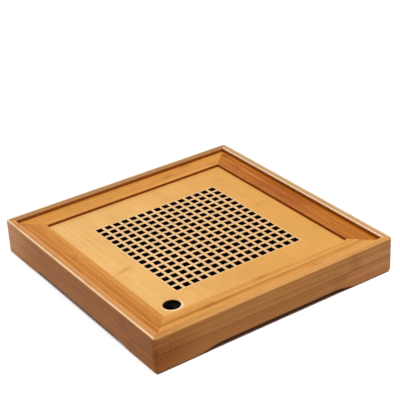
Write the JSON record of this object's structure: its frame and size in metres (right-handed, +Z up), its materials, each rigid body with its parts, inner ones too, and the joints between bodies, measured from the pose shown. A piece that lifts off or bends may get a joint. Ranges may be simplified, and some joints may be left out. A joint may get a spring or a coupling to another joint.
{
  "type": "gongfu tea tray",
  "caption": "Square bamboo tea tray on low corner feet, with a lift-out lid holding a grid of square drain holes and a finger hole, over a lift-out water basin.",
  "frame": {"origin": "centre of the tray's square footprint, on the plane that its feet stand on", "axes": "+Z up; the front wall faces -Y, and the finger hole is in the front left corner, towards -X and -Y"},
  "size_m": [0.28, 0.28, 0.038],
  "materials": {
    "side_bamboo": "satin lacquer",
    "rail_bamboo": "satin lacquer",
    "panel_bamboo": "satin lacquer",
    "inner_bamboo": "matt",
    "board_bamboo": "matt",
    "basin_plastic": "fine matt moulded"
  },
  "bodies": {
    "box": {"side_board_front": "side_bamboo", "side_board_right": "side_bamboo", "side_board_back": "side_bamboo", "side_board_left": "side_bamboo", "wall_spline_front_right": "inner_bamboo", "wall_spline_back_right": "inner_bamboo", "wall_spline_back_left": "inner_bamboo", "wall_spline_front_left": "inner_bamboo", "bottom_board": "board_bamboo", "ledge_strip_front": "inner_bamboo", "ledge_strip_right": "inner_bamboo", "ledge_strip_back": "inner_bamboo", "ledge_strip_left": "inner_bamboo"},
    "basin": {"water_basin": "basin_plastic"},
    "lid": {"lid_rail_front": "rail_bamboo", "lid_rail_right": "rail_bamboo", "lid_rail_back": "rail_bamboo", "lid_rail_left": "rail_bamboo", "rail_spline_front_right": "inner_bamboo", "rail_spline_back_right": "inner_bamboo", "rail_spline_back_left": "inner_bamboo", "rail_spline_front_left": "inner_bamboo", "grate_panel": "panel_bamboo"}
  },
  "joints": [
    {"name": "basin_lift", "type": "slide", "parent": "box", "child": "basin", "axis": [0, 0, 1], "range_m": [0, 0.05]},
    {"name": "lid_lift", "type": "slide", "parent": "basin", "child": "lid", "axis": [0, 0, 1], "range_m": [0, 0.06]}
  ]
}
